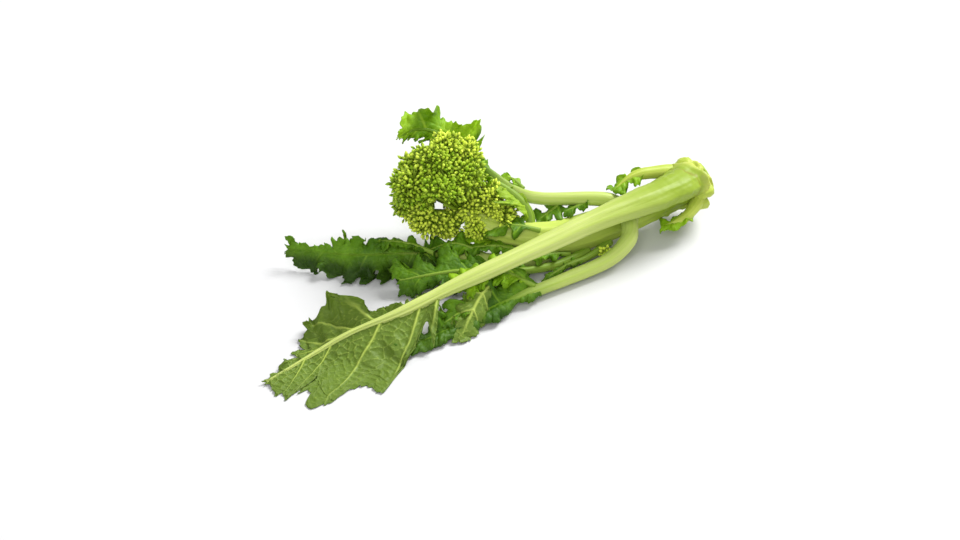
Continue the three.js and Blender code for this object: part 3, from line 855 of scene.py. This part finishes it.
INNER_ROUTE = Route([(-95, -5, 6), (-122, -9, 6), (-156, -4, 9), (-190, 8, 14), (-224, 20, 12)])
leaf_stalk("inner_leaf", INNER_ROUTE, [(0, 3.4), (0.6, 2.0), (1, 0.6)], RIB, sides=20)
inner_near = {
    "reach": [(0, 3), (0.16, 14), (0.32, 8), (0.5, 19), (0.68, 10), (0.86, 17), (1, 4)],
    "inner": [(0, 20), (1, 30)],
    "outer": [(0, 60), (1, 70)],
    "veins": [0.14, 0.5, 0.84],
    "frill": 120,
    "frill_length": 13,
    "seed": 131,
}
inner_far = {
    "reach": [(0, 3), (0.14, 18), (0.3, 10), (0.48, 28), (0.66, 14), (0.84, 25), (1, 6)],
    "inner": [(0, -25), (1, -25)],
    "outer": [(0, 10), (1, 0)],
    "veins": [0.14, 0.48, 0.84],
    "frill": 120,
    "frill_length": 14,
    "seed": 141,
}
leaf_piece("inner_leaf_blade", INNER_ROUTE, 0.34, inner_near, inner_far, DARK_BLADE,
           ("inner_leaf",), seed=151, vein_width=0.7)

# ---- Collar leaf ----

COLLAR_ROUTE = Route([
    (-128, 15, 20), (-125, 21, 30), (-128, 28, 38), (-135, 38, 45), (-146, 49, 51), (-157, 60, 53),
], sideways=(-1, -0.1, 0.1))
leaf_stalk("collar_leaf", COLLAR_ROUTE, [(0, 3.4), (0.4, 2.4), (1, 0.6)], RIB, sides=20)
collar_out = {
    "reach": [(0, 1), (0.3, 4), (0.55, 2), (0.8, 3), (1, 1)],
    "inner": [(0, 30), (1, 10)],
    "outer": [(0, 80), (1, 30)],
    "veins": [0.3, 0.6],
    "seed": 161,
}
collar_in = {
    "reach": [(0, 11), (0.18, 26), (0.42, 21), (0.7, 15), (0.9, 8), (1, 2)],
    "inner": [(0, 30), (1, 10)],
    "outer": [(0, 10), (1, 20)],
    "veins": [0.2, 0.45, 0.7],
    "seed": 171,
}
leaf_piece("collar_leaf_blade", COLLAR_ROUTE, 0.06, collar_out, collar_in, LIGHT_BLADE,
           ("collar_leaf",), seed=181, vein_width=0.7)


# ---- Small leaves ----

def small_leaf(name, node, points, reach, material, seed, start=0.4, radius=2.6, rib=RIB):
    """A curly leaflet on its own stalk."""
    route = Route(points)
    radius_at = taper((0, 1.15 * radius), (0.5, 0.75 * radius), (1, 0.4))
    stalk_piece(name + "_stalk", route, radius_at, rib, "stalk", (node,), sides=16)
    form = {
        "reach": [(0, 1.5), (0.25, reach), (0.42, 0.5 * reach), (0.68, reach), (0.9, 0.6 * reach),
                  (1, 2)],
        "inner": [(0, -15), (1, -5)],
        "outer": [(0, 40), (1, 30)],
        "veins": [0.22, 0.64],
        "frill": 120,
        "frill_length": 10,
        "seed": seed,
    }
    leaf_piece(name + "_blade", route, start, form, {**form, "seed": seed + 7}, material,
               (node,), seed=seed, step=0.55, vein_width=0.6, pucker=0.4, thickness=0.5)


small_leaf("under_leaf", "under_leaf",
           [(-79, -6.6, 8.5), (-100, -13, 7), (-119, -16.5, 8.5), (-140, -22, 8)], 6.5, DARK_BLADE, 201)
small_leaf("basal_leaf", "basal_leaf", [(-10, 8, 32), (-28, 12, 37), (-49, 14, 39), (-66, 11, 35)],
           12, LIGHT_BLADE, 211, start=0.48, radius=5.6, rib=BASE_STALK)
small_leaf("stub_leaf", "stub_leaf", [(-9, -8, 23), (-17, -14, 20), (-27, -17, 16), (-42, -15, 13.5)],
           11, LIGHT_BLADE, 221, start=0.34, radius=5.0, rib=BASE_STALK)
LEAFLETS = {
    # leaf: its leaflets, each with a name, route, reach, material and seed
    "back_leaf": [
        ("hanging_leaflet_low", [(-98, 23, 33), (-106, 20, 29), (-119, 19, 25)], 12, DARK_BLADE, 231),
        ("hanging_leaflet_high", [(-80, 15, 32), (-88, 13, 31), (-103, 13, 29)], 9, DARK_BLADE, 233),
        ("side_leaflet", [(-121, 36, 40), (-124, 44, 44), (-129, 50, 44)], 6, LIGHT_BLADE, 235),
    ],
    "far_leaf": [
        ("curl_over_far_leaf", [(-190, 30, 14), (-205, 40, 22), (-224, 56, 22)], 9, DARK_BLADE, 237),
    ],
    "inner_leaf": [
        ("throat_leaflet", [(-140, 10, 12), (-156, 26, 18), (-172, 38, 16)], 14, LIGHT_BLADE, 239),
        ("throat_leaflet_left", [(-160, 14, 12), (-178, 28, 20), (-198, 38, 14)], 13, DARK_BLADE, 241),
        ("fork_leaflet", [(-126, 6, 26), (-142, 15, 30), (-160, 26, 24)], 12, DARK_BLADE, 249),
        ("fork_leaflet_low", [(-138, 4, 14), (-156, 14, 19), (-176, 26, 16)], 12, DARK_BLADE, 251),
    ],
    "under_leaf": [
        ("kink_leaflet", [(-110, -6, 9), (-124, -4, 12), (-138, -4, 14)], 8, DARK_BLADE, 243),
    ],
    "low_leaf": [
        ("low_curl", [(-150, -27, 10), (-170, -16, 22), (-195, -13, 21)], 23, LIGHT_BLADE, 245),
        ("low_curl_left", [(-192, -34, 7), (-204, -30, 11), (-220, -31, 8)], 11, DARK_BLADE, 247),
    ],
}
for node, leaflets in LEAFLETS.items():
    for name, points, reach, material, seed in leaflets:
        small_leaf(name, node, points, reach, material, seed, start=0.12, radius=1.5)


# ---- Buds ----

def spindle(heights, widths, sides, seam=0.0):
    """A closed shape along +Z, from 0 to 1, ringed at the heights, with four seams down its sides."""
    turn = np.linspace(0, 2 * math.pi, sides, endpoint=False)
    seams = 1 + seam * np.cos(4 * turn)
    rings = [np.stack([w * seams * np.cos(turn), w * seams * np.sin(turn), np.full(sides, h)], 1)
             for h, w in zip(heights, widths)]
    points = np.vstack(rings + [[[0, 0, 0]], [[0, 0, 1]]])
    faces = grid_quads(len(heights), sides, wrap=True).tolist()
    base, tip = len(points) - 2, len(points) - 1
    last = (len(heights) - 1) * sides
    for j in range(sides):
        k = (j + 1) % sides
        faces.append([base, k, j])
        faces.append([tip, last + j, last + k])
    return points, faces


def basis(direction, spin):
    """Rotation matrices that take +Z to each direction, turned by spin about it."""
    helper = np.where(np.abs(direction[:, 2:3]) < 0.9, np.array([[0.0, 0, 1]]), np.array([[1.0, 0, 0]]))
    x = unit(np.cross(helper, direction))
    y = np.cross(direction, x)
    c, s = np.cos(spin)[:, None], np.sin(spin)[:, None]
    return np.stack([x * c + y * s, y * c - x * s, direction], axis=2)


def copies(template, places, directions, widths, lengths, spins=np.zeros(1)):
    """Every copy of a template, as one set of points and faces, with each point's copy number."""
    points, faces = template
    size = np.stack(np.broadcast_arrays(widths, widths, lengths), axis=1)
    turned = np.einsum("nij,nkj->nki", basis(directions, spins), points[None] * size[:, None])
    cloud = (turned + places[:, None]).reshape(-1, 3)
    faces = [[v + n * len(points) for v in face] for n in range(len(places)) for face in faces]
    owner = np.repeat(np.arange(len(places)), len(points))
    return cloud, faces, owner


def even_directions(count, axis, widest, seed):
    """Directions spread evenly over a cap of the given half angle about an axis."""
    rng = np.random.default_rng(seed)
    i = np.arange(count) + 0.5
    height = 1 - i / count * (1 - math.cos(widest))
    turn = i * math.pi * (3 - math.sqrt(5)) + rng.uniform(0, 6)
    ring = np.sqrt(1 - height ** 2)
    local = np.stack([ring * np.cos(turn), ring * np.sin(turn), height], axis=1)
    local = unit(local + rng.normal(scale=0.07, size=local.shape))
    matrix = basis(unit(np.array([axis], dtype=float)), np.zeros(1))[0]
    return local @ matrix.T


BUD_LENGTH = 3.9
BUD_WIDTH = 2.45
BUD_SIZES = (0.7, 1.15)  # least and largest share of BUD_LENGTH and BUD_WIDTH
BUD_SCATTER = 0.42  # of the ways that the buds of an umbel point
BUDS_PER_UMBEL = 18
UMBEL_SIZES = (0.8, 1.15)
UMBEL_SHARE = 4.8 / 14  # an umbel's radius as a share of its cluster's
UMBEL_LIFT = 2.5  # from where an umbel's stalklets start to its middle
CLUSTER_SPREAD = math.radians(125)
UMBEL_SPREAD = math.radians(105)
STALKLET_RADIUS = 0.36
STALKLET_HOLD = 0.3  # length of a stalklet inside its bud
LIMB_RADIUS = 1.1
LIMB_SHORT = 2.0  # a limb stops this far below its umbel's middle
BUD_REST = 3  # least height of a bud's base above the table
BUD_TEMPLATE = spindle([0.06, 0.22, 0.45, 0.68, 0.88], [0.16, 0.36, 0.43, 0.36, 0.17], 8, seam=0.07)
STALKLET_TEMPLATE = spindle([0, 1], [1, 1], 5)

# The gap in the head through which the photo shows the table.
GAP_POINT = np.array([-179.0, 47.0, 40.0])
GAP_WAY = np.array([0.41, 0.71, -0.57])
GAP_RADIUS = 3.4


def clear_of_gap(starts, ends):
    """True for each straight piece that stays out of the see-through gap in the head."""
    clear = np.ones(len(starts), dtype=bool)
    for share in np.linspace(0, 1, 9):
        away = starts + (ends - starts) * share - GAP_POINT
        away = away - np.outer(away @ unit(GAP_WAY), unit(GAP_WAY))
        clear &= np.linalg.norm(away, axis=1) > GAP_RADIUS
    return clear


def struts(starts, ends, radius, extra=0.0):
    """Points and faces of straight stalklets, which run past their ends by extra."""
    way = ends - starts
    length = np.linalg.norm(way, axis=1) + extra
    return copies(STALKLET_TEMPLATE, starts, unit(way), radius, length)[:2]


def bud_cluster(name, node, root, centre, radius, seed, umbels=17, painted_light=0.0):
    """A cluster of small umbels: buds on stalklets, on branches that leave the root, with painted light
    added to the buds' tone if asked.
    """
    rng = np.random.default_rng(seed)
    axis = unit(centre - root)
    heads = even_directions(umbels, axis, CLUSTER_SPREAD, seed)
    size = UMBEL_SHARE * radius * rng.uniform(*UMBEL_SIZES, umbels)
    tops = centre + heads * (radius - 0.8 * size + rng.uniform(-3.6, 1.8, umbels))[:, None]
    shade = rng.uniform(0, 1, umbels)
    buds, outward, tones = [], [], []
    for top, head, umbel_size, umbel_tone in zip(tops, heads, size, shade):
        ways = even_directions(BUDS_PER_UMBEL, head, UMBEL_SPREAD, int(rng.integers(1e6)))
        reach = umbel_size * rng.uniform(0.55, 1.2, len(ways))[:, None]
        buds.append(top + ways * reach - head * 1.5)
        outward.append(unit(ways + 0.3 * head + rng.normal(scale=BUD_SCATTER, size=ways.shape)))
        tones.append(0.45 * umbel_tone + 0.55 * rng.uniform(0, 1, len(ways)))
    roots = np.repeat(tops - heads * UMBEL_LIFT, BUDS_PER_UMBEL, axis=0)
    buds, outward, tones = np.vstack(buds), np.vstack(outward), np.concatenate(tones)
    lay_on_table(buds, BUD_REST)
    kept = clear_of_gap(roots, buds + outward * BUD_LENGTH)
    # Painted light: the buds' tone is raised to make them paler as if lit.
    buds, outward, tones, roots = buds[kept], outward[kept], tones[kept] + painted_light, roots[kept]
    count = len(buds)
    scale = rng.uniform(*BUD_SIZES, count)
    cloud, faces, owner = copies(BUD_TEMPLATE, buds, outward, BUD_WIDTH * scale, BUD_LENGTH * scale,
                                 rng.uniform(0, 6, count))
    tip = np.tile(BUD_TEMPLATE[0][:, 2], count)
    stalks, stalk_faces = struts(roots, buds, STALKLET_RADIUS, STALKLET_HOLD)
    ends = tops - heads * LIMB_SHORT
    ends = ends[clear_of_gap(np.tile(root, (umbels, 1)), ends)]
    limbs, limb_faces = struts(np.tile(root, (len(ends), 1)), ends, LIMB_RADIUS)
    points = np.vstack([cloud, stalks, limbs])
    for shift, more in ((len(cloud), stalk_faces), (len(cloud) + len(stalks), limb_faces)):
        faces = faces + [[v + shift for v in face] for face in more]
    layers = {
        "tone": np.concatenate([tones[owner], np.full(len(stalks) + len(limbs), 0.5)]),
        "tip": np.concatenate([tip, np.full(len(stalks), 0.35), np.full(len(limbs), 0.3)]),
    }
    return make_piece(name, points, faces, BUD, (node,), layers)


FORK = np.array([-164.0, 42.0, 33.0])
HEAD_SHIFT = np.array([-3.0, 0.0, 1.5])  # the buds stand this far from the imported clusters' middles
PAINTED_LIGHT_LOW_FRONT = 0.7  # painted light: how much paler the buds low in front are made, as if lit
PAINTED_LIGHT_EXTRA = 0.45  # and the painted light on the buds of the extra clusters
LIT_CLUSTERS = ("bud_cluster_low_front", "bud_cluster_side")
CLUSTERS = [node for node in frame["nodes"] if node.startswith("bud_cluster")]
for index, node in enumerate(sorted(CLUSTERS)):
    middle, ball = node_ball(node)
    painted_light = PAINTED_LIGHT_LOW_FRONT if node in LIT_CLUSTERS else 0.0
    bud_cluster(node + "_buds", node, FORK, middle + HEAD_SHIFT, ball, 301 + index, painted_light=painted_light)
EXTRA_CLUSTERS = [
    # name, node it belongs with, root, centre, radius, umbels
    ("buds_top", "bud_cluster_crown", (-166, 52, 46), (-163, 66, 68), 12, 15),
    ("buds_top_right", "bud_cluster_back_right", (-164, 48, 42), (-153, 62, 62), 12, 15),
    ("buds_low_middle", "bud_cluster_low_front", (-160, 38, 30), (-174, 42, 27), 11, 12),
    ("buds_fork", "bud_cluster_side", (-152, 30, 22), (-160, 29, 25), 8, 9),
    ("buds_throat", "bud_cluster_side", (-156, 34, 24), (-160, 38, 34), 10, 11),
    ("buds_side_low", "bud_cluster_side", (-142, 22, 18), (-142, 27, 30), 10, 11),
    ("side_shoot_cluster", "side_shoot_buds", (-80, -16, 8), (-88, -19, 8), 6, 4),
]
for index, (name, node, root, centre, radius, umbels) in enumerate(EXTRA_CLUSTERS):
    bud_cluster(name, node, np.array(root, float), np.array(centre, float), radius, 401 + index, umbels,
                PAINTED_LIGHT_EXTRA)
SHOOT_ROUTE = Route([(-64, 0, 8), (-72, -12.4, 8), (-88, -19, 8)])
stalk_piece("side_shoot_stalk", SHOOT_ROUTE, taper((0, 2), (1, 2)), STALK, "stem",
            ("side_shoot",), sides=12)


# ---- Stage ----

PHOTO_AZIMUTH = math.radians(-30)
PHOTO_ELEVATION = math.radians(35)
PHOTO_DISTANCE = 1.5
PHOTO_TARGET = (-164.4, 18.6, 0)  # in the shoot's frame
FLOOR_HALF = 4.0
FLOOR_WHITE = (0.66, 0.66, 0.665, 1)
SKY_STRENGTH = 0.48


def stage():
    floor_mesh = bpy.data.meshes.new("floor")
    corners = [(FLOOR_HALF * x, FLOOR_HALF * y, 0) for x, y in ((-1, -1), (1, -1), (1, 1), (-1, 1))]
    floor_mesh.from_pydata(corners, [], [(0, 1, 2, 3)])
    floor = bpy.data.objects.new("floor", floor_mesh)
    bpy.context.scene.collection.objects.link(floor)
    paint = bpy.data.materials.new("floor_white")
    paint.use_nodes = True
    shader = paint.node_tree.nodes["Principled BSDF"]
    shader.inputs["Base Color"].default_value = FLOOR_WHITE
    shader.inputs["Roughness"].default_value = 0.9
    shader.inputs["Specular IOR Level"].default_value = 0.0
    floor_mesh.materials.append(paint)


LIGHTS = [
    # name, place in metres, width, power
    ("key", (2.2, 0.45, 2.4), 1.8, 150),
    ("fill", (-1.6, -2.2, 2.2), 2.0, 48),
]


def area_light(name, place, size, power):
    """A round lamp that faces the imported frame's origin."""
    data = bpy.data.lights.new(name, "AREA")
    data.shape = "DISK"
    data.size = size
    data.energy = power
    light = bpy.data.objects.new(name, data)
    light.location = place
    light.rotation_euler = (-Vector(place)).to_track_quat("-Z", "Y").to_euler()
    bpy.context.scene.collection.objects.link(light)


def camera():
    data = bpy.data.cameras.new("camera")
    data.lens = 85
    data.sensor_width = 36
    data.clip_end = 20
    eye = bpy.data.objects.new("camera", data)
    level = math.cos(PHOTO_ELEVATION)
    back = np.array([math.sin(PHOTO_AZIMUTH) * level, -math.cos(PHOTO_AZIMUTH) * level,
                     math.sin(PHOTO_ELEVATION)])
    eye.location = to_row(PHOTO_TARGET) + back * PHOTO_DISTANCE
    eye.rotation_euler = Vector(-back).to_track_quat("-Z", "Y").to_euler()
    bpy.context.scene.collection.objects.link(eye)
    bpy.context.scene.camera = eye


def world():
    scene = bpy.context.scene
    scene.world = bpy.data.worlds.new("studio")
    scene.world.use_nodes = True
    background = scene.world.node_tree.nodes["Background"]
    background.inputs["Color"].default_value = (1, 1, 1, 1)
    background.inputs["Strength"].default_value = SKY_STRENGTH
    scene.view_settings.view_transform = "Standard"


stage()
camera()
world()
for light in LIGHTS:
    area_light(*light)
